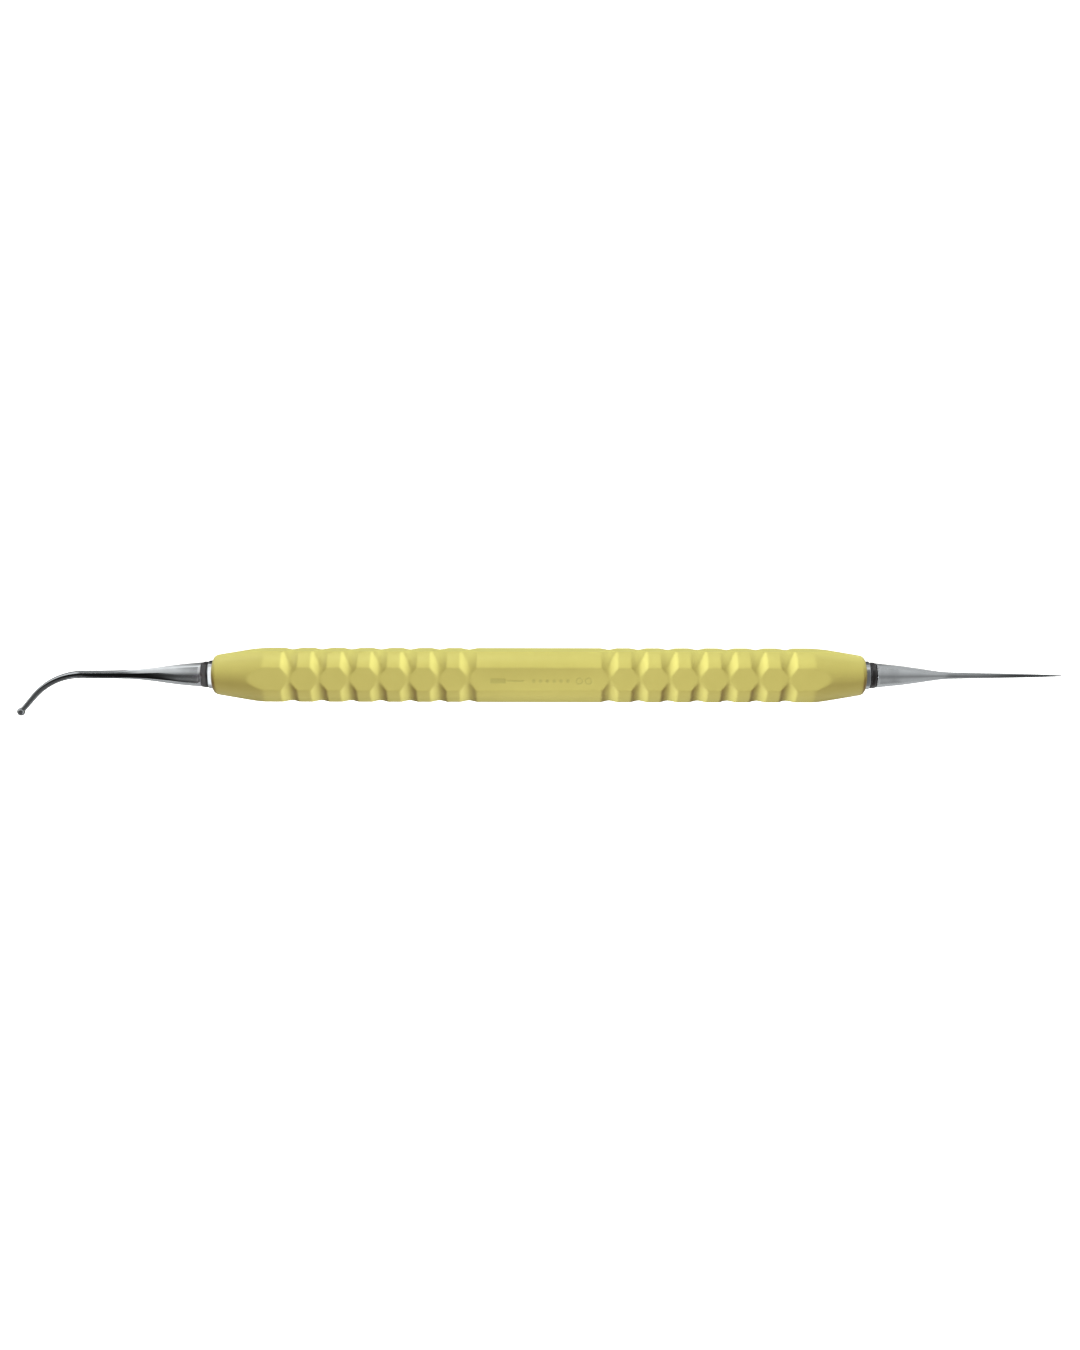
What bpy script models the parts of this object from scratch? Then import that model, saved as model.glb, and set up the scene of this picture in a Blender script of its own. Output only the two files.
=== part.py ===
"""Double-ended dental explorer: a moulded handle with a screwed-in steel tip at each end.

Metres, +Z up. The handle lies along X on one of its four flats, with the needle end at +X.
The ball end is at -X, and its shank bends level, towards -Y.
"""
import math

import bmesh
import bpy
from mathutils import Matrix, Vector

# Grip: a round bar with four flats, ring grooves and a tapered nose at each end
GRIP_RADIUS = 4.77e-3
FLAT_DISTANCE = 4.34e-3
GRIP_HALF_LENGTH = 55.25e-3
GRIP_BORE_RADIUS = 2.45e-3
NOSE_START = 46.3e-3
NOSE_SLOPE = 1.0 / 6.0
NOSE_EDGE_RADIUS = 1.0e-3
GROOVES_PER_SIDE = 7
FIRST_GROOVE = 11.87e-3
GROOVE_PITCH = 5.0e-3
GROOVE_HALF_WIDTH = 1.45e-3
GROOVE_BOTTOM_RADIUS = 4.30e-3

# Core tube inside the grip
TUBE_HALF_LENGTH = 42.9e-3
TUBE_RADIUS = 2.35e-3
TUBE_BORE_RADIUS = 1.95e-3

# Threaded insert in each end of the grip; its outer face shows as a collar
INSERT_SPIGOT_START = 38.0e-3
INSERT_SPIGOT_RADIUS = 1.88e-3
INSERT_SHOULDER = 43.05e-3
INSERT_RADIUS = 2.40e-3
INSERT_FACE = 55.97e-3
INSERT_CHAMFER = 0.12e-3
SOCKET_RADIUS = 1.30e-3
SOCKET_DEPTH = 9.4e-3
GLUE_GROOVES = (45.0e-3, 47.0e-3, 49.0e-3)
GLUE_GROOVE_WIDTH = 0.8e-3
GLUE_GROOVE_DEPTH = 0.15e-3

# O-ring in a groove of the insert, sealing the grip's bore
BORE_RING_PLACE = 51.8e-3
BORE_RING_GROOVE_WIDTH = 0.9e-3
BORE_RING_GROOVE_RADIUS = 1.86e-3
BORE_RING_MIDDLE_RADIUS = 2.14e-3
BORE_RING_THICKNESS = 0.46e-3

# Black seal ring between the collar and the tip's cone
SEAL_START = 56.02e-3
SEAL_WIDTH = 1.08e-3
SEAL_OUTER_RADIUS = 2.22e-3
SEAL_INNER_RADIUS = 1.32e-3
SEAL_EDGE_RADIUS = 0.30e-3

# Cone that both tips share, and the stub that screws into the insert
STUB_START = 47.2e-3
STUB_RADIUS = 1.22e-3
STUB_CHAMFER = 0.30e-3
CONE_START = 57.15e-3
CONE_BASE_RADIUS = 2.10e-3
CONE_BASE_SLOPE = -0.09
CONE_BEND = 65.6e-3
CONE_BEND_RADIUS = 1.08e-3
CONE_BEND_SLOPE = -0.16
SHANK_START = 70.5e-3

# Needle end
NEEDLE_SHANK_RADIUS = 0.58e-3
NEEDLE_POINT = 88.9e-3
NEEDLE_POINT_RADIUS = 0.09e-3
NEEDLE_MIDDLE = 80.0e-3
NEEDLE_MIDDLE_RADIUS = 0.375e-3

# Ball end: distances along the shank's centre line, then the bend
BALL_SHANK_RADIUS = 0.70e-3
BEND_START = 77.6e-3
BEND_START_RADIUS = 0.64e-3
BEND_RADIUS = 11.3e-3
BEND_ANGLE = math.radians(48.5)
BALL_REACH = 3.6e-3
BALL_RADIUS = 0.68e-3
BALL_NECK_RADIUS = 0.44e-3

# Facet counts
GRIP_SEGMENTS = 36
INNER_SEGMENTS = 24
TIP_SEGMENTS = 20

AXIS_HEIGHT = FLAT_DISTANCE
UP = Vector((0.0, 0.0, 1.0))


def clear_scene():
    for thing in list(bpy.data.objects):
        bpy.data.objects.remove(thing)


def material(name, colour, roughness, metallic):
    """A plain Principled material; colour is linear RGB."""
    made = bpy.data.materials.new(name)
    made.use_nodes = True
    shader = made.node_tree.nodes["Principled BSDF"]
    shader.inputs["Base Color"].default_value = (*colour, 1.0)
    shader.inputs["Roughness"].default_value = roughness
    shader.inputs["Metallic"].default_value = metallic
    return made


def add_object(name, mesh, finish):
    """Turn a bmesh about the instrument's axis into a smooth-shaded object at its real height."""
    bmesh.ops.remove_doubles(mesh, verts=mesh.verts, dist=1e-7)
    bmesh.ops.recalc_face_normals(mesh, faces=mesh.faces)
    data = bpy.data.meshes.new(name)
    mesh.to_mesh(data)
    mesh.free()
    data.materials.append(finish)
    data.shade_smooth()
    data.set_sharp_from_angle(angle=math.radians(30.0))
    made = bpy.data.objects.new(name, data)
    made.location = (0.0, 0.0, AXIS_HEIGHT)
    bpy.context.scene.collection.objects.link(made)
    return made


def arc(centre, radius, start_degrees, end_degrees, steps):
    """Points (x, r) of an arc about centre; 0 degrees points along +x and 90 outward."""
    points = []
    for i in range(steps + 1):
        angle = math.radians(start_degrees + (end_degrees - start_degrees) * i / steps)
        points.append((centre[0] + radius * math.cos(angle), centre[1] + radius * math.sin(angle)))
    return points


def curve_between(start, start_slope, end, end_slope, steps):
    """Points (x, r) of the cubic that leaves start and reaches end at the given slopes."""
    run = end[0] - start[0]
    points = []
    for i in range(steps + 1):
        t = i / steps
        r = (
            (1 + 2 * t) * (1 - t) ** 2 * start[1]
            + t * (1 - t) ** 2 * run * start_slope
            + t * t * (3 - 2 * t) * end[1]
            + t * t * (t - 1) * run * end_slope
        )
        points.append((start[0] + t * run, r))
    return points


def spun(outline, segments, ring):
    """Spin an outline of (x, r) points about X; ring closes the outline on itself."""
    mesh = bmesh.new()
    verts = [mesh.verts.new((x, 0.0, r)) for x, r in outline]
    edges = [mesh.edges.new(pair) for pair in zip(verts, verts[1:])]
    if ring:
        edges.append(mesh.edges.new((verts[-1], verts[0])))
    bmesh.ops.spin(
        mesh,
        geom=verts + edges,
        cent=(0.0, 0.0, 0.0),
        axis=(1.0, 0.0, 0.0),
        angle=2.0 * math.pi,
        steps=segments,
    )
    return mesh


def skinned(stations, segments):
    """Closed solid through circles of (centre, direction, radius); radius 0 is a point."""
    mesh = bmesh.new()
    rings = []
    for centre, direction, radius in stations:
        if radius == 0.0:
            rings.append([mesh.verts.new(centre)])
            continue
        side = direction.cross(UP)
        ring = []
        for i in range(segments):
            angle = 2.0 * math.pi * i / segments
            outward = math.cos(angle) * UP + math.sin(angle) * side
            ring.append(mesh.verts.new(centre + radius * outward))
        rings.append(ring)
    for ring, following in zip(rings, rings[1:]):
        for i in range(segments):
            j = i + 1
            corners = (
                ring[i % len(ring)],
                ring[j % len(ring)],
                following[j % len(following)],
                following[i % len(following)],
            )
            mesh.faces.new(list(dict.fromkeys(corners)))
    return mesh


def to_ball_end(mesh):
    """Turn a piece made for the needle end round to the ball end."""
    bmesh.ops.rotate(mesh, verts=mesh.verts, cent=(0.0, 0.0, 0.0), matrix=Matrix.Rotation(math.pi, 3, "Z"))
    return mesh


# ---- grip ----


def groove(place):
    """One ring groove of the grip: a shallow arc between two points on the bar's surface."""
    depth = GRIP_RADIUS - GROOVE_BOTTOM_RADIUS
    radius = (GROOVE_HALF_WIDTH**2 + depth**2) / (2.0 * depth)
    half_angle = math.degrees(math.asin(GROOVE_HALF_WIDTH / radius))
    return arc((place, GROOVE_BOTTOM_RADIUS + radius), radius, -90.0 - half_angle, -90.0 + half_angle, 4)


def grip_nose():
    """Tapered nose at the needle end, from the bar's full radius round to the end face."""
    taper = math.atan(NOSE_SLOPE)
    middle_x = GRIP_HALF_LENGTH - NOSE_EDGE_RADIUS
    cone_r = GRIP_RADIUS - NOSE_SLOPE * (middle_x - NOSE_START)
    middle_r = cone_r - NOSE_EDGE_RADIUS / math.cos(taper)
    edge = arc((middle_x, middle_r), NOSE_EDGE_RADIUS, 90.0 - math.degrees(taper), 4.0, 4)
    return [(NOSE_START, GRIP_RADIUS)] + edge


def grip_outline():
    """Outside of the grip from end to end, then its bore."""
    half = []
    for k in range(GROOVES_PER_SIDE):
        half += groove(FIRST_GROOVE + k * GROOVE_PITCH)
    half += grip_nose()
    outside = [(-x, r) for x, r in reversed(half)] + half
    end_x = outside[-1][0]
    return outside + [(end_x, GRIP_BORE_RADIUS), (-end_x, GRIP_BORE_RADIUS)]


def build_grip(finish):
    """Turned bar cut by a square bar, which leaves the four flats."""
    grip = add_object("grip", spun(grip_outline(), GRIP_SEGMENTS, ring=True), finish)
    square = bmesh.new()
    bmesh.ops.create_cube(square, size=2.0 * FLAT_DISTANCE)
    bmesh.ops.scale(square, verts=square.verts, vec=(1.2 * GRIP_HALF_LENGTH / FLAT_DISTANCE, 1.0, 1.0))
    flats = add_object("flats_cutter", square, finish)
    flats.hide_render = True
    flats.display_type = "WIRE"
    cut = grip.modifiers.new("flats", "BOOLEAN")
    cut.operation = "INTERSECT"
    cut.solver = "EXACT"
    cut.object = flats


# ---- pieces inside the grip ----


def build_core_tube(finish):
    outline = [
        (-TUBE_HALF_LENGTH, TUBE_RADIUS),
        (TUBE_HALF_LENGTH, TUBE_RADIUS),
        (TUBE_HALF_LENGTH, TUBE_BORE_RADIUS),
        (-TUBE_HALF_LENGTH, TUBE_BORE_RADIUS),
    ]
    add_object("core_tube", spun(outline, INNER_SEGMENTS, ring=True), finish)


def cut_groove(start, width, bottom):
    """Square groove in the insert's outside."""
    return [
        (start, INSERT_RADIUS),
        (start, bottom),
        (start + width, bottom),
        (start + width, INSERT_RADIUS),
    ]


def insert_mesh():
    """Threaded insert: a spigot for the tube, a grooved body, the collar and a blind socket."""
    socket_end = INSERT_FACE - SOCKET_DEPTH
    outline = [
        (INSERT_SPIGOT_START, 0.0),
        (INSERT_SPIGOT_START, INSERT_SPIGOT_RADIUS - INSERT_CHAMFER),
        (INSERT_SPIGOT_START + INSERT_CHAMFER, INSERT_SPIGOT_RADIUS),
        (INSERT_SHOULDER, INSERT_SPIGOT_RADIUS),
        (INSERT_SHOULDER, INSERT_RADIUS),
    ]
    for start in GLUE_GROOVES:
        outline += cut_groove(start, GLUE_GROOVE_WIDTH, INSERT_RADIUS - GLUE_GROOVE_DEPTH)
    ring_groove_start = BORE_RING_PLACE - BORE_RING_GROOVE_WIDTH / 2.0
    outline += cut_groove(ring_groove_start, BORE_RING_GROOVE_WIDTH, BORE_RING_GROOVE_RADIUS)
    outline += [
        (INSERT_FACE - INSERT_CHAMFER, INSERT_RADIUS),
        (INSERT_FACE, INSERT_RADIUS - INSERT_CHAMFER),
        (INSERT_FACE, SOCKET_RADIUS + INSERT_CHAMFER),
        (INSERT_FACE - INSERT_CHAMFER, SOCKET_RADIUS),
        (socket_end, SOCKET_RADIUS),
        (socket_end - 0.5 * SOCKET_RADIUS, 0.0),
    ]
    return spun(outline, INNER_SEGMENTS, ring=False)


def bore_ring_mesh():
    middle = (BORE_RING_PLACE, BORE_RING_MIDDLE_RADIUS)
    section = arc(middle, BORE_RING_THICKNESS / 2.0, 0.0, 360.0, 6)[:-1]
    return spun(section, INNER_SEGMENTS, ring=True)


def seal_ring_mesh():
    """Seal ring with a flat inside and a rounded outside."""
    seal_end = SEAL_START + SEAL_WIDTH
    edge_r = SEAL_OUTER_RADIUS - SEAL_EDGE_RADIUS
    section = [(seal_end, SEAL_INNER_RADIUS)]
    section += arc((seal_end - SEAL_EDGE_RADIUS, edge_r), SEAL_EDGE_RADIUS, 0.0, 90.0, 3)
    section += arc((SEAL_START + SEAL_EDGE_RADIUS, edge_r), SEAL_EDGE_RADIUS, 90.0, 180.0, 3)
    section += [(SEAL_START, SEAL_INNER_RADIUS)]
    return spun(section, INNER_SEGMENTS, ring=True)


# ---- tips ----


def stub_and_cone(shank_radius, shank_slope):
    """Outline (distance, radius) from the stub's inner end to where the cone meets the shank."""
    outline = [
        (STUB_START, 0.0),
        (STUB_START, STUB_RADIUS - STUB_CHAMFER),
        (STUB_START + STUB_CHAMFER, STUB_RADIUS),
        (CONE_START, STUB_RADIUS),
        (CONE_START, CONE_BASE_RADIUS - INSERT_CHAMFER),
        (CONE_START + INSERT_CHAMFER, CONE_BASE_RADIUS),
    ]
    bend = (CONE_BEND, CONE_BEND_RADIUS)
    shank = (SHANK_START, shank_radius)
    cone = curve_between(outline[-1], CONE_BASE_SLOPE, bend, CONE_BEND_SLOPE, 4)
    fillet = curve_between(bend, CONE_BEND_SLOPE, shank, shank_slope, 5)
    return outline + cone[1:] + fillet[1:]


def needle_outline():
    """Needle end: the shank tapers all the way to a small rounded point."""
    slope = (NEEDLE_MIDDLE_RADIUS - NEEDLE_SHANK_RADIUS) / (NEEDLE_MIDDLE - SHANK_START)
    point_middle = (NEEDLE_POINT - NEEDLE_POINT_RADIUS, 0.0)
    point = arc(point_middle, NEEDLE_POINT_RADIUS, 90.0, 0.0, 3)[:-1]
    outline = stub_and_cone(NEEDLE_SHANK_RADIUS, slope)
    return outline + [(NEEDLE_MIDDLE, NEEDLE_MIDDLE_RADIUS)] + point + [(NEEDLE_POINT, 0.0)]


def ball_outline():
    """Ball end: a slim shank that thins round its bend to a neck, then the ball."""
    bend_end = BEND_START + BEND_RADIUS * BEND_ANGLE
    ball_middle = bend_end + BALL_REACH
    neck = ball_middle - math.sqrt(BALL_RADIUS**2 - BALL_NECK_RADIUS**2)
    thinning = (BALL_NECK_RADIUS - BEND_START_RADIUS) / (neck - BEND_START)
    slope = (BEND_START_RADIUS - BALL_SHANK_RADIUS) / (BEND_START - SHANK_START)
    outline = stub_and_cone(BALL_SHANK_RADIUS, slope) + [(BEND_START, BEND_START_RADIUS)]
    for i in range(1, 8):
        along = BEND_RADIUS * BEND_ANGLE * i / 7
        outline.append((BEND_START + along, BEND_START_RADIUS + thinning * along))
    neck_angle = 180.0 - math.degrees(math.asin(BALL_NECK_RADIUS / BALL_RADIUS))
    ball = arc((ball_middle, 0.0), BALL_RADIUS, neck_angle, 0.0, 7)[:-1]
    return outline + ball + [(ball_middle + BALL_RADIUS, 0.0)]


def needle_station(distance, radius):
    return Vector((distance, 0.0, 0.0)), Vector((1.0, 0.0, 0.0)), radius


def ball_station(distance, radius):
    """Point and direction of the ball end's centre line at a distance from mid-handle."""
    past = distance - BEND_START
    if past <= 0.0:
        return Vector((-distance, 0.0, 0.0)), Vector((-1.0, 0.0, 0.0)), radius
    turned = min(past / BEND_RADIUS, BEND_ANGLE)
    direction = Vector((-math.cos(turned), -math.sin(turned), 0.0))
    bend = Vector((-math.sin(turned), math.cos(turned) - 1.0, 0.0)) * BEND_RADIUS
    straight = direction * max(past - BEND_RADIUS * BEND_ANGLE, 0.0)
    return Vector((-BEND_START, 0.0, 0.0)) + bend + straight, direction, radius


def build_tips(finish):
    needle = [needle_station(*point) for point in needle_outline()]
    ball = [ball_station(*point) for point in ball_outline()]
    add_object("needle_end_tip", skinned(needle, TIP_SEGMENTS), finish)
    add_object("ball_end_tip", skinned(ball, TIP_SEGMENTS), finish)


def build_end_pieces(makers):
    """Make each turned end piece once for the needle end and once for the ball end."""
    for name, mesh_maker, finish in makers:
        add_object("needle_end_" + name, mesh_maker(), finish)
        add_object("ball_end_" + name, to_ball_end(mesh_maker()), finish)


def main():
    clear_scene()
    polymer = material("yellow_polymer", (0.58, 0.50, 0.13), 0.45, 0.0)
    tube_steel = material("tube_steel", (0.50, 0.50, 0.50), 0.40, 1.0)
    polished_steel = material("polished_steel", (0.62, 0.62, 0.64), 0.15, 1.0)
    black_rubber = material("black_rubber", (0.015, 0.015, 0.016), 0.50, 0.0)
    build_grip(polymer)
    build_core_tube(tube_steel)
    build_end_pieces(
        [
            ("insert", insert_mesh, polished_steel),
            ("bore_ring", bore_ring_mesh, black_rubber),
            ("seal_ring", seal_ring_mesh, black_rubber),
        ]
    )
    build_tips(polished_steel)


main()
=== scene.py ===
"""Looks of the double-ended dental explorer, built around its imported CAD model.

Metres, in the CAD's own frame: the needle end at +X, the ball end at -X, resting on z = 0.
Tables marked as millimetres are multiplied by MM where they are used. Outlines are lists of
(distance from the handle's middle, radius), turned about a centre line.
"""
import math

import bpy
import numpy as np
from mathutils import Matrix, Vector


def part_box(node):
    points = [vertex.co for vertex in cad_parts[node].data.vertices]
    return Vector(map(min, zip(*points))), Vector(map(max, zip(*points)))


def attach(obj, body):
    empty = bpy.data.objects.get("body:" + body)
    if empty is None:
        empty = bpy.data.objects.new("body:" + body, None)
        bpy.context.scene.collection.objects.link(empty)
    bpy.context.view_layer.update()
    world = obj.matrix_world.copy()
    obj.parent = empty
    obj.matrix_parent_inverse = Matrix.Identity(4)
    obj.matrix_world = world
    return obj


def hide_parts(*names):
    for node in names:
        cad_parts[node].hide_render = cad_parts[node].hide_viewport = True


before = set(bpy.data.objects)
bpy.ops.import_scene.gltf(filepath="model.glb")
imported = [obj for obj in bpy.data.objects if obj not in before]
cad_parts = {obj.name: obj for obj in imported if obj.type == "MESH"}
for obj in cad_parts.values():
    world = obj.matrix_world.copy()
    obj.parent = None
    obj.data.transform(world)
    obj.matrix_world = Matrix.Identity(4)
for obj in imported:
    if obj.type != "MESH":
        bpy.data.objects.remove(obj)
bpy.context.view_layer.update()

MM = 1.0e-3

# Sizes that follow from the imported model
grip_low, grip_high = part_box("grip")
AXIS_HEIGHT = 0.5 * (grip_low.z + grip_high.z)
FLAT_DISTANCE = 0.5 * (grip_high.z - grip_low.z)
GRIP_END = grip_high.x
NEEDLE_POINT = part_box("needle_end_tip")[1].x

# Sizes of the grip's moulded form
GRIP_RADIUS = 4.77 * MM
GRIP_BORE_RADIUS = 2.45 * MM
BORE_HALF_LENGTH = 50.0 * MM
BORE_ROWS = 11
BORE_CHAMFER = 0.12 * MM
NOSE_START = 46.3 * MM
NOSE_SLOPE = 1.0 / 6.0
NOSE_SOFTNESS = 0.06 * MM
NOSE_EDGE_RADIUS = 1.0 * MM
NOSE_EDGE_STEPS = 12
FIRST_GROOVE = 11.87 * MM
GROOVE_PITCH = 5.0 * MM
GROOVES_PER_SIDE = 7
GROOVE_HALF_WIDTH = 1.37 * MM
GROOVE_BOTTOM_RADIUS = 4.345 * MM
GROOVE_POWER = 1.73
FLAT_EDGE_SOFTNESS = 0.07 * MM
GROOVE_EDGE_SOFTNESS = 0.09 * MM
GRIP_SEGMENTS = 256
# Rows of the grip's mesh from the middle outwards, in millimetres: (end of a stretch, spacing)
GRIP_ROWS = ((9.9, 0.15), (43.9, 0.16), (45.6, 0.4), (47.2, 0.2))
NOSE_ROW_SPACING = 0.3 * MM

# Blank marking on the upper flat
MARK_SHIFT = -0.30 * MM
MARK_DEPTH = 0.03 * MM
MARK_EDGE = 0.20 * MM
# Bar and line, in millimetres: (middle, half length, half width, corner radius)
MARK_BOXES = ((-6.9, 1.3, 0.42, 0.2), (-4.0, 1.4, 0.13, 0.1))
FIRST_DOT = -0.9 * MM
DOT_PITCH = 1.15 * MM
DOTS = 6
DOT_RADIUS = 0.30 * MM
MARK_RINGS = (6.8 * MM, 8.3 * MM)
MARK_RING_RADIUS = 0.50 * MM
MARK_RING_HALF_WIDTH = 0.10 * MM

# Sizes of the end pieces
COLLAR_RADIUS = 2.40 * MM
COLLAR_FACE = 55.97 * MM
RING_START = 56.02 * MM
RING_END = 57.10 * MM
RING_RADIUS = 2.22 * MM
RING_BORE = 1.32 * MM
RING_EDGE_RADIUS = 0.30 * MM
CONE_START = 57.15 * MM
CONE_BASE_RADIUS = 2.10 * MM
CONE_EDGE_RADIUS = 0.10 * MM
NEEDLE_POINT_RADIUS = 0.10 * MM
BEND_START = 77.6 * MM
BEND_RADIUS = 11.3 * MM
BEND_ANGLE = math.radians(48.5)
BALL_REACH = 3.6 * MM
BALL_RADIUS = 0.68 * MM
BALL_NECK_RADIUS = 0.44 * MM
SHANK_ROW_SPACING = 0.4 * MM
TURNED_SEGMENTS = 96
# Cone and shank of each tip, in millimetres: (distance, radius)
NEEDLE_KNOTS = (
    (57.27, 2.085),
    (59.3, 1.87),
    (61.4, 1.66),
    (63.1, 1.43),
    (65.0, 1.16),
    (66.5, 0.93),
    (68.2, 0.71),
    (70.0, 0.58),
    (72.5, 0.505),
    (75.0, 0.455),
    (78.3, 0.41),
    (82.0, 0.33),
    (85.5, 0.235),
    (88.7, 0.105),
)
BALL_KNOTS = (
    (57.27, 2.085),
    (59.3, 1.91),
    (61.4, 1.71),
    (63.1, 1.49),
    (65.0, 1.22),
    (66.5, 1.04),
    (68.4, 0.86),
    (70.5, 0.745),
    (73.0, 0.69),
    (78.3, 0.64),
    (82.3, 0.555),
    (86.0, 0.50),
)

# Finishes; a pair of colours or of roughnesses is the range that a material's noise covers
PLASTIC_IOR = 1.5
NOISE_RANGE = (0.3, 0.7)
POLYMER_COLOURS = ((0.585, 0.542, 0.148), (0.605, 0.562, 0.156))
POLYMER_ENGRAVED = (0.50, 0.47, 0.13)
POLYMER_ROUGHNESS = (0.36, 0.44)
POLYMER_TEXTURE_DEPTH = 0.004 * MM
POLYMER_WAVINESS_DEPTH = 0.010 * MM
POLISHED_COLOUR = (0.60, 0.63, 0.645)
POLISHED_ROUGHNESS = (0.07, 0.12)
POLISHED_LINE_DEPTH = 0.0001 * MM
DRAWN_COLOUR = (0.50, 0.50, 0.50)
DRAWN_ROUGHNESS = (0.35, 0.45)
DRAWN_LINE_DEPTH = 0.0012 * MM
STAIN_SHADE = 0.93
RUBBER_COLOURS = ((0.010, 0.010, 0.011), (0.022, 0.022, 0.023))
RUBBER_DUST_RANGE = (0.35, 0.75)
RUBBER_ROUGHNESS = (0.14, 0.22)
RUBBER_GRAIN_DEPTH = 0.003 * MM

# Lamps: powers in watts, distances in metres, angles in degrees
FLOOR_REACH = 6.0
FLOOR_ALBEDO = 0.8
FLOOR_GLOW = (0.85, 0.85, 0.85)
KEY_POWER = 14.8
KEY_COLOUR = (0.93, 1.0, 1.0)
KEY_DISTANCE = 1.2
KEY_ELEVATION = 12.4
KEY_AZIMUTH = 90.0
KEY_WIDTH = 0.6
KEY_HEIGHT = 0.15
RAKE_RIGHT_POWER = 143.0
RAKE_LEFT_POWER = 131.0
RAKE_COLOUR = (0.88, 0.93, 1.0)
RAKE_DISTANCE = 1.5
RAKE_ELEVATION = 25.9
RAKE_AZIMUTH = 194.6
RAKE_FOOT = 28.0 * MM
RAKE_LAMP_RADIUS = 0.004
RAKE_HALF_CONE = 4.0
RAKE_BLEND = 0.28
# Where the edges of the two raking cones cross, from the instrument's axis
CROSSING_Y = -2.0 * MM
CROSSING_RISE = 3.4 * MM

# World: what each kind of ray sees
CAMERA_WHITE = (1.0, 1.0, 1.0)
WARM_FILL = (1.0, 0.33, 0.0)
WARM_FILL_STRENGTH = 0.15
STUDIO_STRENGTH = 1.6
# What glossy surfaces see overhead: (degrees from upright towards +Y, grey)
OVER_HANDLE = (
    (-90, 0.30),
    (-60, 0.20),
    (0, 0.15),
    (40, 0.15),
    (70, 0.30),
    (90, 0.20),
)
OVER_NEEDLE_COLLAR = (
    (-90, 0.30),
    (-50, 0.22),
    (0, 0.20),
    (35, 0.22),
    (52, 0.30),
    (68, 1.10),
    (80, 0.90),
    (90, 0.40),
)
OVER_BALL_COLLAR = (
    (-90, 0.60),
    (-78, 1.4),
    (-65, 1.6),
    (0, 1.6),
    (60, 1.6),
    (75, 1.4),
    (90, 0.40),
)
OVER_NEEDLE = (
    (-90, 0.50),
    (-60, 0.32),
    (-25, 0.20),
    (0, 0.22),
    (40, 0.38),
    (90, 0.62),
)
OVER_BALL_SHANK = (
    (-90, 0.22),
    (-70, 0.12),
    (-50, 0.05),
    (-22, 0.03),
    (-5, 0.05),
    (12, 0.09),
    (40, 0.15),
    (70, 0.27),
    (90, 0.38),
)
OVER_NEEDLE_CONE = (
    (-90, 0.62),
    (-76, 0.58),
    (-55, 0.58),
    (-35, 0.52),
    (-14, 0.37),
    (0, 0.34),
    (20, 0.50),
    (42, 0.62),
    (72, 0.76),
    (90, 0.70),
)
OVER_BALL_CONE = (
    (-90, 0.78),
    (-78, 0.66),
    (-62, 0.50),
    (-49, 0.36),
    (-30, 0.20),
    (-14, 0.11),
    (-2, 0.11),
    (10, 0.24),
    (24, 0.52),
    (45, 0.85),
    (90, 1.0),
)
# Where each of them takes over, from the middle outwards, as the X part of the direction:
# (where it starts, where it is full, its greys)
NEEDLE_SIDE = (
    (0.14, 0.17, OVER_NEEDLE_COLLAR),
    (0.26, 0.30, OVER_NEEDLE),
    (0.37, 0.42, OVER_NEEDLE_CONE),
)
BALL_SIDE = (
    (0.14, 0.17, OVER_BALL_COLLAR),
    (0.255, 0.275, OVER_BALL_SHANK),
    (0.34, 0.41, OVER_BALL_CONE),
)


def grey(value):
    return (value, value, value)


def rectangle(x_low, x_high, y_low, y_high):
    return ((x_low, y_low), (x_high, y_low), (x_high, y_high), (x_low, y_high))


# Card that lights the matt handle from below: (name, glow, height and outline in millimetres)
SOFT_CARD = ("floor_light", (0.80, 0.79, 0.72), 0.1, rectangle(-500, 500, -500, 500))
# Cards that only glossy surfaces see, in the same form, and where along X, in millimetres, each
# fades from clear to full
GLOSSY_CARDS = (
    ("handle_back", grey(0.1), 0.12, rectangle(-55, 55, 2.5, 400), None),
    ("handle_front", grey(0.1), 0.12, rectangle(-55, 55, -400, -2.5), None),
    ("needle_ground", grey(0.68), 0.11, rectangle(55, 600, -600, 600), None),
    ("ball_ground_back", grey(1.25), 0.11, rectangle(-600, -55, 0, 600), None),
    ("ball_ground_front", grey(0.55), 0.11, rectangle(-600, -55, -600, 0), None),
    ("needle_back", grey(0.35), 0.12, ((70, 0), (250, 0), (250, 120), (118, 120)), None),
    ("needle_front", grey(0.30), 0.12, ((118, -120), (250, -120), (250, 0), (70, 0)), None),
    ("ball_back", grey(0.28), 0.12, ((-160, 0), (-70, 0), (-92, 60), (-160, 60)), None),
    ("ball_front", grey(0.05), 0.12, ((-160, -90), (-102, -90), (-70, 0), (-160, 0)), None),
    (
        "needle_collar",
        grey(0.14),
        0.2,
        ((56, 2), (66, 2), (71, 14), (79, 30), (60, 30), (57, 14)),
        (63.0, 57.0),
    ),
    (
        "ball_collar",
        grey(0.08),
        0.2,
        ((-70, 2), (-54, 2), (-55, 14), (-59, 30), (-80, 30), (-74, 14)),
        (-67.0, -57.5),
    ),
    (
        "ball_flag",
        grey(0.01),
        16.0,
        ((-120, -50), (-64, -50), (-64, -1), (-72, 8), (-120, 10)),
        (-64.0, -72.0),
    ),
    ("ball_tip_flag", grey(0.10), 9.0, rectangle(-99, -79, -20, -2), None),
    ("needle_flag", grey(0.06), 16.0, rectangle(79, 120, -30, 30), (79.0, 86.0)),
)

# Camera: lens and sensor in millimetres, angles in degrees
CAMERA_LENS = 39.2
CAMERA_SENSOR = 36.0
CAMERA_DISTANCE = 0.250
CAMERA_TILT = 10.0
CAMERA_ROLL = 0.088
CAMERA_TARGET_X = 0.17 * MM


# ---- node materials ----


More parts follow.
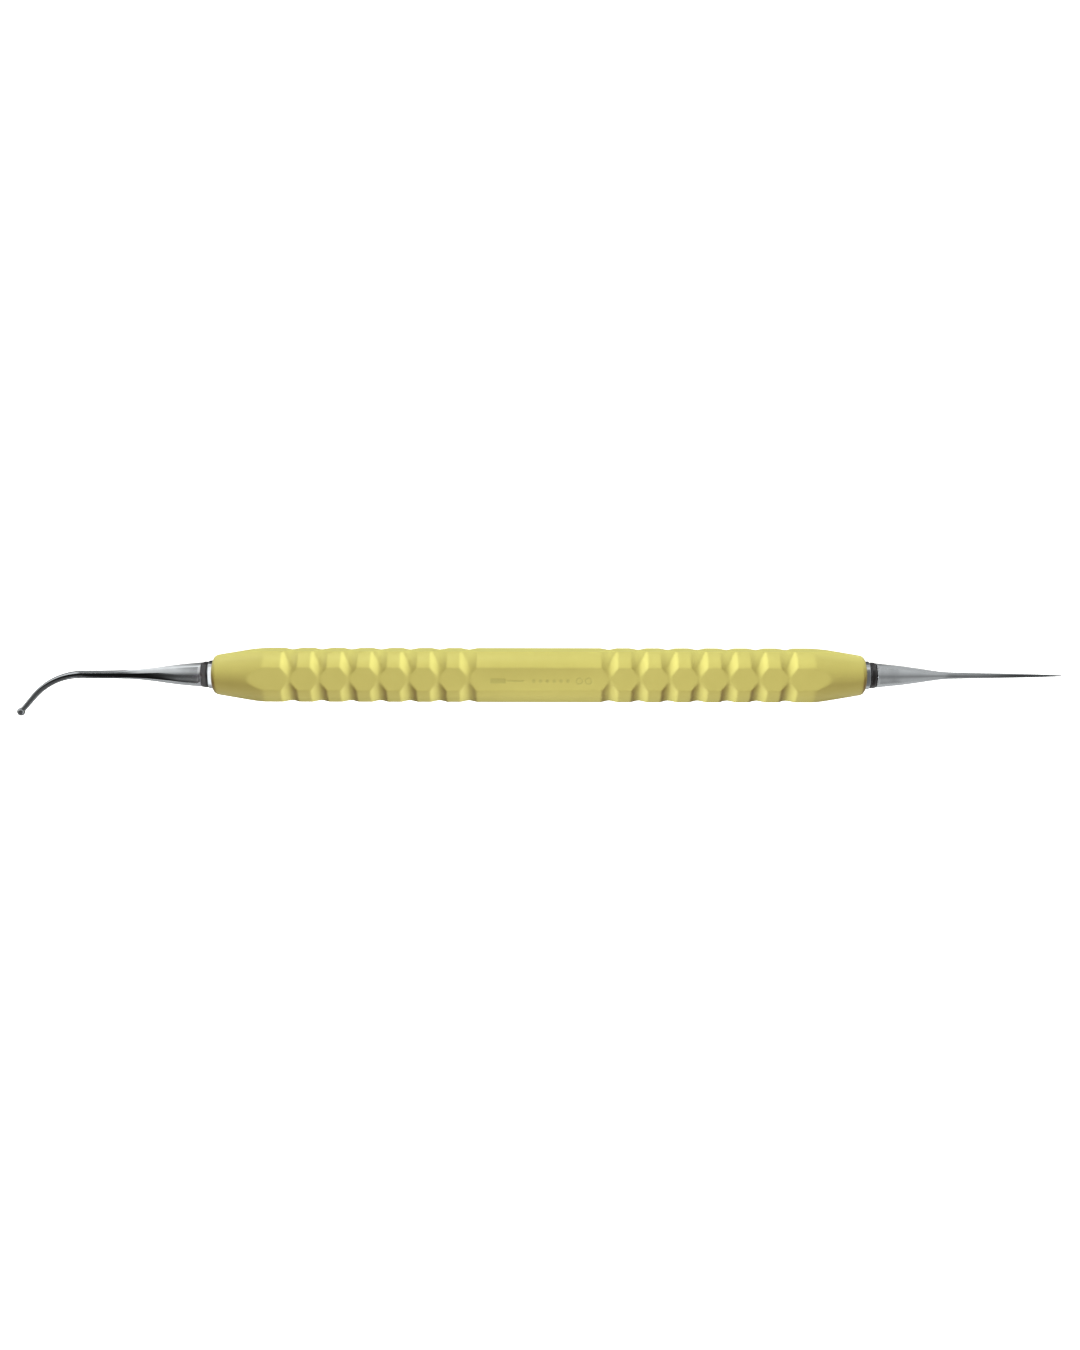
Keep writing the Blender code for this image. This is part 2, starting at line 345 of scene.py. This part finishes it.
def feed(tree, value, socket):
    """Give a colour socket a constant colour, when value is a tuple, or a node's output."""
    if isinstance(value, tuple):
        socket.default_value = (*value, 1.0)
    else:
        tree.links.new(value, socket)


def mix_colours(tree, factor, first, second):
    """Colour between first and second; each is a colour or an output."""
    node = tree.nodes.new("ShaderNodeMix")
    node.data_type = "RGBA"
    tree.links.new(factor, node.inputs["Factor"])
    colour_sockets = [s for s in node.inputs if s.type == "RGBA"]
    feed(tree, first, colour_sockets[0])
    feed(tree, second, colour_sockets[1])
    return [s for s in node.outputs if s.type == "RGBA"][0]


def map_range(tree, value, from_range, to_range=(0.0, 1.0), interpolation="LINEAR"):
    """Value carried from one range to another, and held at the ends of the second."""
    node = tree.nodes.new("ShaderNodeMapRange")
    node.interpolation_type = interpolation
    node.inputs["From Min"].default_value = from_range[0]
    node.inputs["From Max"].default_value = from_range[1]
    node.inputs["To Min"].default_value = to_range[0]
    node.inputs["To Max"].default_value = to_range[1]
    tree.links.new(value, node.inputs["Value"])
    return node.outputs["Result"]


class Shader:
    """A Principled material under construction, in the object's own millimetres."""

    def __init__(self, name):
        self.material = bpy.data.materials.new(name)
        self.material.use_nodes = True
        self.tree = self.material.node_tree
        self.surface = self.tree.nodes["Principled BSDF"]
        coordinates = self.tree.nodes.new("ShaderNodeTexCoord")
        scale = self.tree.nodes.new("ShaderNodeVectorMath")
        scale.operation = "SCALE"
        scale.inputs["Scale"].default_value = 1.0 / MM
        self.tree.links.new(coordinates.outputs["Object"], scale.inputs[0])
        self.place = scale.outputs[0]

    def set(self, **values):
        """Set constants of the Principled shader; an underscore stands for a space."""
        for name, value in values.items():
            self.surface.inputs[name.replace("_", " ")].default_value = value

    def link(self, output, name):
        self.tree.links.new(output, self.surface.inputs[name])

    def stretch(self, factors):
        """The place, multiplied by a factor for each axis."""
        node = self.tree.nodes.new("ShaderNodeVectorMath")
        node.operation = "MULTIPLY"
        node.inputs[1].default_value = factors
        self.tree.links.new(self.place, node.inputs[0])
        return node.outputs[0]

    def noise(self, scale, detail=2.0, roughness=0.5, place=None):
        """Noise with about scale waves to the millimetre."""
        node = self.tree.nodes.new("ShaderNodeTexNoise")
        node.inputs["Scale"].default_value = scale
        node.inputs["Detail"].default_value = detail
        node.inputs["Roughness"].default_value = roughness
        self.tree.links.new(place or self.place, node.inputs["Vector"])
        return node.outputs["Fac"]

    def attribute(self, name):
        node = self.tree.nodes.new("ShaderNodeAttribute")
        node.attribute_name = name
        return node.outputs["Fac"]

    def spread(self, noise, to_range=(0.0, 1.0), noise_range=NOISE_RANGE):
        """A noise whose usual range is spread over another."""
        return map_range(self.tree, noise, noise_range, to_range)

    def mix(self, factor, first, second):
        return mix_colours(self.tree, factor, first, second)

    def bump(self, height, depth, below=None):
        """Bump of a height that runs from 0 to 1 over a real depth in metres."""
        node = self.tree.nodes.new("ShaderNodeBump")
        node.inputs["Distance"].default_value = depth
        self.tree.links.new(height, node.inputs["Height"])
        if below is not None:
            self.tree.links.new(below, node.inputs["Normal"])
        return node.outputs["Normal"]


def polymer_material():
    """Moulded satin polymer: yellow, finely textured, with a darker engraving."""
    m = Shader("grip_polymer")
    m.set(Specular_IOR_Level=0.50, IOR=PLASTIC_IOR)
    body = m.mix(m.spread(m.noise(0.35, 2.0)), *POLYMER_COLOURS)
    m.link(m.mix(m.attribute("engraving"), body, POLYMER_ENGRAVED), "Base Color")
    texture = m.noise(11.0, 3.0, 0.6)
    m.link(m.spread(texture, POLYMER_ROUGHNESS), "Roughness")
    skin = m.bump(texture, POLYMER_TEXTURE_DEPTH)
    m.link(m.bump(m.noise(0.9, 1.0), POLYMER_WAVINESS_DEPTH, skin), "Normal")
    return m.material


def steel_material(name, colour, roughness, line_depth):
    """Turned steel: fine rings round the axis and slightly uneven polish."""
    m = Shader(name)
    m.set(Metallic=1.0)
    stained = tuple(STAIN_SHADE * c for c in colour)
    m.link(m.mix(m.spread(m.noise(0.8, 3.0)), colour, stained), "Base Color")
    m.link(m.spread(m.noise(2.5, 3.0), roughness), "Roughness")
    rings = m.noise(1.0, 2.0, 0.6, m.stretch((22.0, 0.8, 0.8)))
    m.link(m.bump(rings, line_depth), "Normal")
    return m.material


def rubber_material():
    """Smooth black rubber with a trace of dust."""
    m = Shader("seal_rubber")
    m.set(Specular_IOR_Level=1.0, IOR=PLASTIC_IOR)
    dusty = m.spread(m.noise(1.4, 3.0), noise_range=RUBBER_DUST_RANGE)
    m.link(m.mix(dusty, *RUBBER_COLOURS), "Base Color")
    grain = m.noise(14.0, 2.0)
    m.link(m.spread(grain, RUBBER_ROUGHNESS), "Roughness")
    m.link(m.bump(grain, RUBBER_GRAIN_DEPTH), "Normal")
    return m.material


def glowing(name, albedo, glow, fade=None):
    """Matt stage material with its own light; fade gives the X, in mm, where it is clear and full."""
    finish = bpy.data.materials.new(name)
    finish.use_nodes = True
    tree = finish.node_tree
    surface = tree.nodes["Principled BSDF"]
    surface.inputs["Base Color"].default_value = (*grey(albedo), 1.0)
    surface.inputs["Roughness"].default_value = 1.0
    surface.inputs["Specular IOR Level"].default_value = 0.0
    surface.inputs["Emission Color"].default_value = (*glow, 1.0)
    surface.inputs["Emission Strength"].default_value = 1.0
    if fade is not None:
        place = tree.nodes.new("ShaderNodeTexCoord")
        along = tree.nodes.new("ShaderNodeSeparateXYZ")
        tree.links.new(place.outputs["Object"], along.inputs[0])
        clear, full = fade
        share = map_range(tree, along.outputs["X"], (clear * MM, full * MM))
        tree.links.new(share, surface.inputs["Alpha"])
    return finish


# ---- meshes ----


def piece(name, points, faces, finish, node, sharp_degrees):
    """A smooth mesh piece, sharp past an angle, that rides on the body and stands for a node."""
    mesh = bpy.data.meshes.new(name)
    mesh.from_pydata([tuple(p) for p in points], [], faces)
    mesh.update()
    mesh.validate()
    mesh.shade_smooth()
    mesh.set_sharp_from_angle(angle=math.radians(sharp_degrees))
    mesh.materials.append(finish)
    made = bpy.data.objects.new(name, mesh)
    bpy.context.scene.collection.objects.link(made)
    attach(made, "root")
    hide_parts(node)
    return made


def closed_grid_faces(rows, columns):
    """Quads of a grid of rows x columns points that wraps both ways."""
    faces = []
    for i in range(rows):
        low = i * columns
        high = ((i + 1) % rows) * columns
        for j in range(columns):
            k = (j + 1) % columns
            faces.append((low + j, low + k, high + k, high + j))
    return faces


def smooth_min(a, b, softness):
    """The lower of two surfaces, with the edge between them rounded off."""
    near = np.clip(softness - np.abs(a - b), 0.0, None)
    return np.minimum(a, b) - near * near / (4.0 * softness)


# ---- grip ----


def turned_radius(x):
    """Radius of the turned form at distances x, before the flats."""
    depth = GRIP_RADIUS - GROOVE_BOTTOM_RADIUS
    radius = np.full_like(x, GRIP_RADIUS)
    for k in range(GROOVES_PER_SIDE):
        off = np.abs(np.abs(x) - (FIRST_GROOVE + k * GROOVE_PITCH))
        bowl = GROOVE_BOTTOM_RADIUS + depth * (off / GROOVE_HALF_WIDTH) ** GROOVE_POWER
        radius = smooth_min(radius, bowl, GROOVE_EDGE_SOFTNESS)
    cone = GRIP_RADIUS - NOSE_SLOPE * (np.abs(x) - NOSE_START)
    return smooth_min(radius, cone, NOSE_SOFTNESS)


def nose_edge():
    """Rounded outer edge of the nose, from where it leaves the cone to the end face."""
    taper = math.atan(NOSE_SLOPE)
    start = 0.5 * math.pi - taper
    end = math.radians(2.0)
    past_face = math.radians(4.0)
    middle_x = GRIP_END - NOSE_EDGE_RADIUS * math.cos(past_face)
    cone_radius = GRIP_RADIUS - NOSE_SLOPE * (middle_x - NOSE_START)
    middle_radius = cone_radius - NOSE_EDGE_RADIUS / math.cos(taper)
    points = []
    for i in range(NOSE_EDGE_STEPS + 1):
        share = i / NOSE_EDGE_STEPS
        angle = start * (1.0 - share) + end * share
        x = min(middle_x + NOSE_EDGE_RADIUS * math.cos(angle), GRIP_END)
        points.append((x, middle_radius + NOSE_EDGE_RADIUS * math.sin(angle)))
    return points


def spaced(start, end, spacing):
    """Even steps from start up to, but without, end."""
    count = max(1, round((end - start) / spacing))
    return list(np.linspace(start, end, count + 1)[:-1])


def rounded_box(x, y, centre_x, half_x, half_y, corner):
    """Signed distance to a rounded rectangle on the marked flat."""
    dx = np.abs(x - centre_x) - (half_x - corner)
    dy = np.abs(y) - (half_y - corner)
    outside = np.hypot(np.maximum(dx, 0.0), np.maximum(dy, 0.0))
    return outside + np.minimum(np.maximum(dx, dy), 0.0) - corner


def engraving(x, y):
    """Depth share, 0 to 1, of the blank marking on the upper flat. It has no lettering."""
    y = y - MARK_SHIFT
    shapes = [rounded_box(x, y, *(value * MM for value in box)) for box in MARK_BOXES]
    for k in range(DOTS):
        shapes.append(np.hypot(x - (FIRST_DOT + k * DOT_PITCH), y) - DOT_RADIUS)
    for middle in MARK_RINGS:
        from_circle = np.abs(np.hypot(x - middle, y) - MARK_RING_RADIUS)
        shapes.append(from_circle - MARK_RING_HALF_WIDTH)
    nearest = np.minimum.reduce(shapes)
    return np.clip(0.5 - nearest / MARK_EDGE, 0.0, 1.0)


def outer_stations():
    """The grip's outside, without flats, as (x, radius) from the ball end to the needle end."""
    edge = nose_edge()
    half = []
    start = 0.0
    for end, spacing in GRIP_ROWS:
        half += spaced(start, end * MM, spacing * MM)
        start = end * MM
    half += spaced(start, edge[0][0], NOSE_ROW_SPACING)
    body = [-x for x in reversed(half[1:])] + half
    stations = [(-x, radius) for x, radius in reversed(edge)]
    stations += list(zip(body, turned_radius(np.array(body))))
    return stations + edge


def bore_stations():
    """The grip's bore, as (x, radius) from the needle end back to the ball end."""
    mouth = [
        (GRIP_END, GRIP_BORE_RADIUS + BORE_CHAMFER),
        (GRIP_END - BORE_CHAMFER, GRIP_BORE_RADIUS),
    ]
    inside = np.linspace(BORE_HALF_LENGTH, -BORE_HALF_LENGTH, BORE_ROWS)
    stations = mouth + [(x, GRIP_BORE_RADIUS) for x in inside]
    return stations + [(-x, radius) for x, radius in reversed(mouth)]


def build_grip(finish):
    """Turned form with four flats, soft edges, an engraved flat and a bore right through."""
    angles = np.linspace(0.0, 2.0 * math.pi, GRIP_SEGMENTS, endpoint=False)
    across = np.sin(angles)
    upward = np.cos(angles)
    flats = FLAT_DISTANCE / np.maximum(np.abs(upward), np.abs(across))
    points = []
    depths = []
    for x, turned in outer_stations():
        radius = smooth_min(np.full_like(flats, turned), flats, FLAT_EDGE_SOFTNESS)
        y = radius * across
        z = radius * upward
        share = np.where(z > 0.9 * FLAT_DISTANCE, engraving(x, y), 0.0)
        z = z - share * MARK_DEPTH
        depths.extend(share)
        points.extend(np.column_stack((np.full_like(y, x), y, z + AXIS_HEIGHT)))
    for x, radius in bore_stations():
        y = radius * across
        z = radius * upward
        depths.extend(np.zeros_like(y))
        points.extend(np.column_stack((np.full_like(y, x), y, z + AXIS_HEIGHT)))
    faces = closed_grid_faces(len(points) // GRIP_SEGMENTS, GRIP_SEGMENTS)
    made = piece("grip_shell", points, faces, finish, "grip", 40.0)
    marked = made.data.attributes.new("engraving", "FLOAT", "POINT")
    marked.data.foreach_set("value", np.array(depths, np.float32))


# ---- end pieces ----


def arc(centre, radius, start_degrees, end_degrees, steps):
    """Points (x, r) of an arc about centre; 0 degrees points along +x and 90 outward."""
    points = []
    for i in range(steps + 1):
        angle = math.radians(start_degrees + (end_degrees - start_degrees) * i / steps)
        points.append((centre[0] + radius * math.cos(angle), centre[1] + radius * math.sin(angle)))
    return points


def needle_line(distance):
    """Point and direction of the needle end's centre line, before it is raised off the floor."""
    return Vector((distance, 0.0, 0.0)), Vector((1.0, 0.0, 0.0))


def ball_line(distance):
    """Point and direction of the ball end's centre line, without its bend."""
    return Vector((-distance, 0.0, 0.0)), Vector((-1.0, 0.0, 0.0))


def bent_ball_line(distance):
    """Point and direction of the ball end's centre line, with its bend."""
    past = distance - BEND_START
    if past <= 0.0:
        return ball_line(distance)
    turned = min(past / BEND_RADIUS, BEND_ANGLE)
    direction = Vector((-math.cos(turned), -math.sin(turned), 0.0))
    bend = Vector((-math.sin(turned), math.cos(turned) - 1.0, 0.0)) * BEND_RADIUS
    straight = direction * max(past - BEND_RADIUS * BEND_ANGLE, 0.0)
    return Vector((-BEND_START, 0.0, 0.0)) + bend + straight, direction


def turned_piece(name, outline, line, finish, node, ring=False):
    """Turn an outline about a centre line; ring closes the outline on itself."""
    up = Vector((0.0, 0.0, 1.0))
    points = []
    faces = []
    rows = []
    for distance, radius in outline:
        centre, direction = line(distance)
        centre = centre + up * AXIS_HEIGHT
        side = direction.cross(up)
        first = len(points)
        if radius == 0.0:
            points.append(centre)
            rows.append([first] * TURNED_SEGMENTS)
            continue
        for j in range(TURNED_SEGMENTS):
            angle = 2.0 * math.pi * j / TURNED_SEGMENTS
            points.append(centre + radius * (math.cos(angle) * up + math.sin(angle) * side))
        rows.append(list(range(first, first + TURNED_SEGMENTS)))
    pairs = list(zip(rows, rows[1:]))
    if ring:
        pairs.append((rows[-1], rows[0]))
    for low, high in pairs:
        for j in range(TURNED_SEGMENTS):
            k = (j + 1) % TURNED_SEGMENTS
            corners = (low[j], high[j], high[k], low[k])
            # A row drawn together to one point gives triangles
            faces.append(tuple(dict.fromkeys(corners)))
    piece(name, points, faces, finish, node, 35.0)


def insert_outline():
    """Threaded insert: spigot, body with glue grooves, rounded collar and blind socket."""
    spigot_start = 38.0 * MM
    spigot_radius = 1.88 * MM
    body_start = 43.05 * MM
    collar_start = 52.4 * MM
    corner_margin = 0.05 * MM
    edge_radius = 0.10 * MM
    socket_radius = 1.30 * MM
    socket_depth = 9.4 * MM
    drill_point_depth = 10.05 * MM
    chamfer = 0.12 * MM
    outline = [
        (spigot_start, 0.0),
        (spigot_start, spigot_radius - chamfer),
        (spigot_start + chamfer, spigot_radius),
        (body_start, spigot_radius),
        (body_start, COLLAR_RADIUS),
    ]
    # Glue grooves, and the wider groove of the bore's O-ring, in millimetres
    for start, width, bottom in (
        (45.0, 0.8, 2.25),
        (47.0, 0.8, 2.25),
        (49.0, 0.8, 2.25),
        (51.35, 0.9, 1.86),
    ):
        outline += [
            (start * MM, COLLAR_RADIUS),
            (start * MM, bottom * MM),
            ((start + width) * MM, bottom * MM),
            ((start + width) * MM, COLLAR_RADIUS),
        ]
    corner = COLLAR_FACE - edge_radius
    outline += [(collar_start, COLLAR_RADIUS), (corner - corner_margin, COLLAR_RADIUS)]
    outline += arc((corner, COLLAR_RADIUS - edge_radius), edge_radius, 90.0, 0.0, 6)
    outline += [
        (COLLAR_FACE, socket_radius + chamfer),
        (COLLAR_FACE - chamfer, socket_radius),
        (COLLAR_FACE - socket_depth, socket_radius),
        (COLLAR_FACE - drill_point_depth, 0.0),
    ]
    return outline


def ring_outline():
    """Seal ring with a flat inside and a rounded outside."""
    soft = RING_EDGE_RADIUS
    outline = [(RING_START, RING_BORE)]
    outline += arc((RING_START + soft, RING_RADIUS - soft), soft, 180.0, 90.0, 8)
    outline += arc((RING_END - soft, RING_RADIUS - soft), soft, 90.0, 0.0, 8)
    return outline + [(RING_END, RING_BORE)]


def smooth_through(knots):
    """Smooth curve through (distance, radius) knots, with slopes that never overshoot."""
    x = np.array([k[0] for k in knots])
    r = np.array([k[1] for k in knots])
    gaps = np.diff(x)
    secants = np.diff(r) / gaps
    slopes = np.empty_like(r)
    slopes[0] = secants[0]
    slopes[-1] = secants[-1]
    for i in range(1, len(r) - 1):
        before, after = secants[i - 1], secants[i]
        slopes[i] = 0.0 if before * after <= 0.0 else 2.0 * before * after / (before + after)
    points = []
    for i, gap in enumerate(gaps):
        count = max(2, round(gap / SHANK_ROW_SPACING))
        for t in np.linspace(0.0, 1.0, count, endpoint=False):
            value = (
                (1 + 2 * t) * (1 - t) ** 2 * r[i]
                + t * (1 - t) ** 2 * gap * slopes[i]
                + t * t * (3 - 2 * t) * r[i + 1]
                + t * t * (t - 1) * gap * slopes[i + 1]
            )
            points.append((float(x[i] + t * gap), float(value)))
    return points


def stub_outline():
    """Stub that screws into the insert, up to the cone's rounded edge."""
    stub_start = 47.2 * MM
    stub_radius = 1.22 * MM
    chamfer = 0.3 * MM
    soft = CONE_EDGE_RADIUS
    outline = [
        (stub_start, 0.0),
        (stub_start, stub_radius - chamfer),
        (stub_start + chamfer, stub_radius),
        (CONE_START, stub_radius),
        (CONE_START, CONE_BASE_RADIUS - soft),
    ]
    return outline + arc((CONE_START + soft, CONE_BASE_RADIUS - soft), soft, 165.0, 90.0, 5)


def needle_outline():
    """Needle end: cone, then a shank that tapers all the way to a small rounded point."""
    knots = [(distance * MM, radius * MM) for distance, radius in NEEDLE_KNOTS]
    point_middle = (NEEDLE_POINT - NEEDLE_POINT_RADIUS, 0.0)
    point = arc(point_middle, NEEDLE_POINT_RADIUS, 75.0, 0.0, 6)[:-1]
    return stub_outline() + smooth_through(knots) + point + [(NEEDLE_POINT, 0.0)]


def ball_outline():
    """Ball end: cone, slim shank that thins round its bend to a neck, then the ball."""
    bend_end = BEND_START + BEND_RADIUS * BEND_ANGLE
    ball_middle = bend_end + BALL_REACH
    neck = ball_middle - math.sqrt(BALL_RADIUS**2 - BALL_NECK_RADIUS**2)
    knots = [(distance * MM, radius * MM) for distance, radius in BALL_KNOTS]
    shank = smooth_through(knots + [(neck, BALL_NECK_RADIUS)])
    neck_angle = 180.0 - math.degrees(math.asin(BALL_NECK_RADIUS / BALL_RADIUS))
    ball = arc((ball_middle, 0.0), BALL_RADIUS, neck_angle, 0.0, 20)[:-1]
    return stub_outline() + shank + ball + [(ball_middle + BALL_RADIUS, 0.0)]


def build_end_pieces(steel, rubber):
    """Collar, seal ring and tip of each end."""
    insert = insert_outline()
    ring = ring_outline()
    for end, line, tip, tip_line in (
        ("needle_end", needle_line, needle_outline(), needle_line),
        ("ball_end", ball_line, ball_outline(), bent_ball_line),
    ):
        turned_piece(end + "_collar", insert, line, steel, end + "_insert")
        turned_piece(end + "_ring", ring, line, rubber, end + "_seal_ring", True)
        turned_piece(end + "_point", tip, tip_line, steel, end + "_tip")


# ---- studio ----


def staged_sheet(name, outline, height, finish):
    """A flat sheet of the stage; outline and height in metres."""
    mesh = bpy.data.meshes.new(name)
    mesh.from_pydata([(x, y, height) for x, y in outline], [], [tuple(range(len(outline)))])
    mesh.materials.append(finish)
    sheet = bpy.data.objects.new(name, mesh)
    bpy.context.scene.collection.objects.link(sheet)
    return sheet


def build_floor():
    """Pale floor, lit from within as well, so that it stays pale beside the object."""
    outline = rectangle(-FLOOR_REACH, FLOOR_REACH, -FLOOR_REACH, FLOOR_REACH)
    finish = glowing("studio_floor", FLOOR_ALBEDO, FLOOR_GLOW)
    staged_sheet("studio_floor", outline, 0.0, finish)


def add_card(name, glow, height, outline, fade=None):
    """Card just above the floor or overhead that no camera ray sees and that casts no shadow."""
    corners = [(x * MM, y * MM) for x, y in outline]
    card = staged_sheet(name, corners, height * MM, glowing(name, 0.0, glow, fade))
    card.visible_camera = False
    card.visible_shadow = False
    card.visible_transmission = False
    card.visible_volume_scatter = False
    return card


def build_cards():
    """Cards that only some rays see: the matt handle's soft light, or glossy surfaces."""
    add_card(*SOFT_CARD).visible_glossy = False
    for values in GLOSSY_CARDS:
        add_card(*values).visible_diffuse = False


def add_light(name, kind, power, colour, place, target, glossy):
    """Lamp at place, aimed at target; glossy says whether glossy surfaces mirror it."""
    light = bpy.data.lights.new(name, kind)
    light.energy = power
    light.color = colour
    made = bpy.data.objects.new(name, light)
    bpy.context.scene.collection.objects.link(made)
    made.location = place
    made.rotation_mode = "QUATERNION"
    made.rotation_quaternion = (target - place).to_track_quat("-Z", "Y")
    made.visible_glossy = glossy
    return light


def direction_from(elevation, azimuth):
    """Unit vector towards a light; azimuth 0 is +X and 90 is +Y, in degrees."""
    e = math.radians(elevation)
    a = math.radians(azimuth)
    return Vector((math.cos(e) * math.cos(a), math.cos(e) * math.sin(a), math.sin(e)))


def build_key():
    """Low soft key on the +Y side."""
    axis_point = Vector((0.0, 0.0, AXIS_HEIGHT))
    place = axis_point + KEY_DISTANCE * direction_from(KEY_ELEVATION, KEY_AZIMUTH)
    key = add_light("key", "AREA", KEY_POWER, KEY_COLOUR, place, axis_point, False)
    key.shape = "RECTANGLE"
    key.size = KEY_WIDTH
    key.size_y = KEY_HEIGHT


def build_rake(name, side, power):
    """Raking spot for the half of the handle on one side (+1 or -1 in X), from beyond the other.

    Its cone's edge runs through the crossing, where it blends into the other spot's.
    """
    crossing = Vector((0.0, CROSSING_Y, AXIS_HEIGHT + CROSSING_RISE))
    toward = direction_from(RAKE_ELEVATION, RAKE_AZIMUTH)
    toward.x *= side
    place = Vector((side * RAKE_FOOT, 0.0, AXIS_HEIGHT)) + RAKE_DISTANCE * toward
    edge = (crossing - place).normalized()
    outward = Vector((side, 0.0, 0.0))
    outward = (outward - outward.dot(edge) * edge).normalized()
    half_cone = math.radians(RAKE_HALF_CONE)
    off = half_cone * math.sqrt(1.0 - 0.5 * RAKE_BLEND)
    aim = place + math.cos(off) * edge + math.sin(off) * outward
    spot = add_light(name, "SPOT", power, RAKE_COLOUR, place, aim, True)
    spot.shadow_soft_size = RAKE_LAMP_RADIUS
    spot.spot_size = 2.0 * half_cone
    spot.spot_blend = RAKE_BLEND


def grey_ramp(tree, share, stops):
    """Grey by the lean from upright towards +Y; share is 0 at -90 degrees and 1 at 90."""
    node = tree.nodes.new("ShaderNodeValToRGB")
    elements = node.color_ramp.elements
    while len(elements) > 1:
        elements.remove(elements[-1])
    for i, (degrees, value) in enumerate(stops):
        place = degrees / 180.0 + 0.5
        element = elements[0] if i == 0 else elements.new(place)
        element.position = place
        element.color = (*grey(value / STUDIO_STRENGTH), 1.0)
    tree.links.new(share, node.inputs[0])
    return node.outputs["Color"]


def studio_colour(tree):
    """The studio as glossy rays see it: a ramp over the lean, which changes along X."""
    direction = tree.nodes.new("ShaderNodeTexCoord")
    split = tree.nodes.new("ShaderNodeSeparateXYZ")
    tree.links.new(direction.outputs["Generated"], split.inputs[0])
    lean = tree.nodes.new("ShaderNodeMath")
    lean.operation = "ARCTAN2"
    tree.links.new(split.outputs["Y"], lean.inputs[0])
    tree.links.new(split.outputs["Z"], lean.inputs[1])
    share = map_range(tree, lean.outputs[0], (-0.5 * math.pi, 0.5 * math.pi))
    studio = grey_ramp(tree, share, OVER_HANDLE)
    for side, zones in ((1.0, NEEDLE_SIDE), (-1.0, BALL_SIDE)):
        for start, full, stops in zones:
            reach = (side * start, side * full)
            factor = map_range(tree, split.outputs["X"], reach, interpolation="SMOOTHSTEP")
            studio = mix_colours(tree, factor, studio, grey_ramp(tree, share, stops))
    return studio


def build_world():
    """White to the camera; soft studio gradient to polished metal; dim warm fill to the rest."""
    world = bpy.data.worlds.new("studio")
    bpy.context.scene.world = world
    world.use_nodes = True
    tree = world.node_tree
    tree.nodes.clear()

    def background(colour, strength):
        node = tree.nodes.new("ShaderNodeBackground")
        node.inputs["Strength"].default_value = strength
        feed(tree, colour, node.inputs["Color"])
        return node.outputs[0]

    path = tree.nodes.new("ShaderNodeLightPath")
    shown = background(WARM_FILL, WARM_FILL_STRENGTH)
    for ray, seen in (
        ("Is Glossy Ray", background(studio_colour(tree), STUDIO_STRENGTH)),
        ("Is Camera Ray", background(CAMERA_WHITE, 1.0)),
    ):
        node = tree.nodes.new("ShaderNodeMixShader")
        tree.links.new(path.outputs[ray], node.inputs[0])
        tree.links.new(shown, node.inputs[1])
        tree.links.new(seen, node.inputs[2])
        shown = node.outputs[0]
    output = tree.nodes.new("ShaderNodeOutputWorld")
    tree.links.new(shown, output.inputs[0])


def build_camera():
    """Camera above the instrument, tilted past upright on its +Y side."""
    camera = bpy.data.cameras.new("camera")
    camera.sensor_width = CAMERA_SENSOR
    camera.lens = CAMERA_LENS
    made = bpy.data.objects.new("camera", camera)
    bpy.context.scene.collection.objects.link(made)
    tilt = math.radians(CAMERA_TILT)
    back = Vector((0.0, math.sin(tilt), math.cos(tilt)))
    right = Vector((1.0, 0.0, 0.0))
    up = back.cross(right)
    turn = Matrix((right, up, back)).transposed().to_quaternion()
    roll = Matrix.Rotation(math.radians(CAMERA_ROLL), 3, "Z").to_quaternion()
    made.rotation_mode = "QUATERNION"
    made.rotation_quaternion = turn @ roll
    made.location = Vector((CAMERA_TARGET_X, 0.0, AXIS_HEIGHT)) + CAMERA_DISTANCE * back
    bpy.context.scene.camera = made


def finish_hidden_nodes(drawn_steel, rubber):
    """Materials of the pieces inside the handle, which stay as the CAD made them."""
    for name, finish in (
        ("core_tube", drawn_steel),
        ("needle_end_bore_ring", rubber),
        ("ball_end_bore_ring", rubber),
    ):
        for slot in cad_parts[name].material_slots:
            slot.material = finish


def main():
    polished = steel_material(
        "polished_steel", POLISHED_COLOUR, POLISHED_ROUGHNESS, POLISHED_LINE_DEPTH
    )
    drawn = steel_material("tube_steel", DRAWN_COLOUR, DRAWN_ROUGHNESS, DRAWN_LINE_DEPTH)
    rubber = rubber_material()
    build_grip(polymer_material())
    build_end_pieces(polished, rubber)
    finish_hidden_nodes(drawn, rubber)
    build_floor()
    build_cards()
    build_key()
    build_rake("rake_right", 1.0, RAKE_RIGHT_POWER)
    build_rake("rake_left", -1.0, RAKE_LEFT_POWER)
    build_world()
    build_camera()
    bpy.context.scene.view_settings.view_transform = "Standard"


main()
